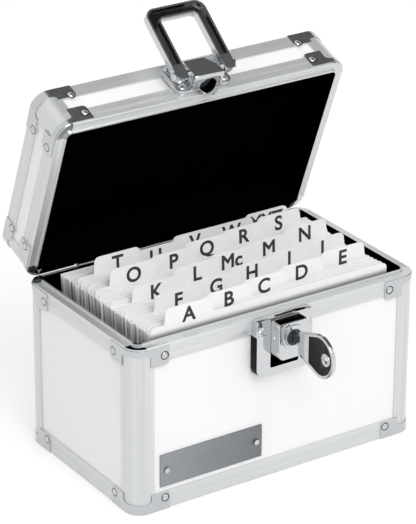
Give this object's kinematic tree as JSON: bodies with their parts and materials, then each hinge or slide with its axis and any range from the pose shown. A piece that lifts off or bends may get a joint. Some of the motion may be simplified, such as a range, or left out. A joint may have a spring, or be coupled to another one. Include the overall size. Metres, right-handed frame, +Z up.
{
  "type": "index card box",
  "caption": "Hinged-lid index card box with metal-edged white panels, a key lock, a folding handle and lettered guide cards.",
  "frame": {"origin": "centre of the flat underside of the bottom panel", "axes": "+X right along the front, +Y to the back (hinge side), +Z up"},
  "size_m": [0.1858, 0.1858, 0.2378],
  "materials": {
    "chrome": "mirror polished",
    "steel": "satin",
    "dark_steel": "satin",
    "pewter": "satin",
    "aluminium": "brushed",
    "white_panel": "smooth white laminate on board",
    "black_lining": "matte",
    "card": "matte paper"
  },
  "bodies": {
    "base": {"base_bottom_rims": "aluminium", "base_corner_caps": "aluminium", "base_corner_posts": "aluminium", "base_corner_rivets": "steel", "base_hinge_strip": "black_lining", "base_lining": "black_lining", "base_panel_back": "white_panel", "base_panel_bottom": "white_panel", "base_panel_front": "white_panel", "base_panel_left": "white_panel", "base_panel_right": "white_panel", "base_seam_clips": "aluminium", "base_seam_joiners": "chrome", "base_seam_rim_back": "aluminium", "base_seam_rim_front": "aluminium", "base_seam_rim_left": "aluminium", "base_seam_rim_right": "aluminium", "guide_cards": "card", "hinge_leaf_base": "steel", "hinge_pin": "steel", "hinge_rivets_base": "steel", "index_cards": "card", "lock_plate": "chrome", "lock_plate_rivets": "chrome", "lock_spring": "steel", "name_plate": "pewter", "name_plate_pins": "steel"},
    "lid": {"lid_corner_caps": "aluminium", "lid_corner_posts": "aluminium", "lid_corner_rivets": "steel", "lid_hinge_strip": "black_lining", "lid_lining": "black_lining", "lid_panel_back": "white_panel", "lid_panel_front": "white_panel", "lid_panel_left": "white_panel", "lid_panel_right": "white_panel", "lid_panel_top": "white_panel", "lid_seam_clips": "aluminium", "lid_seam_joiners": "chrome", "lid_seam_rim_back": "aluminium", "lid_seam_rim_front": "aluminium", "lid_seam_rim_left": "aluminium", "lid_seam_rim_right": "aluminium", "lid_top_rims": "aluminium", "hinge_leaf_lid": "steel", "hinge_rivets_lid": "steel", "latch_plate": "chrome", "latch_plate_rivets": "chrome", "latch_block": "chrome", "latch_striker": "chrome", "handle_pins": "chrome"},
    "handle": {"handle": "chrome"},
    "lock_slide": {"lock_box": "chrome", "lock_cylinder": "chrome"},
    "plug": {"lock_plug": "dark_steel"},
    "key": {"key": "steel"}
  },
  "joints": [
    {"name": "lid_hinge", "type": "hinge", "parent": "base", "child": "lid", "pos_m": [0, 0.0527, 0.0974], "axis": [-1, 0, 0], "range_deg": [-68.6, 19.4]},
    {"name": "handle_pivot", "type": "hinge", "parent": "lid", "child": "handle", "pos_m": [0, 0.01923, 0.20995], "axis": [1, 0, 0], "range_deg": [0, 80]},
    {"name": "lock_slide", "type": "slide", "parent": "base", "child": "lock_slide", "axis": [0, 0, -1], "range_m": [0, 0.006], "stiffness_N_per_m": 300, "springref_m": -0.005, "deforming": ["lock_spring"]},
    {"name": "plug_turn", "type": "hinge", "parent": "lock_slide", "child": "plug", "pos_m": [0, -0.062, 0.0873], "axis": [0, -1, 0], "range_deg": [0, 90]},
    {"name": "key_slide", "type": "slide", "parent": "plug", "child": "key", "axis": [0, -1, 0], "range_m": [0, 0.02]}
  ]
}
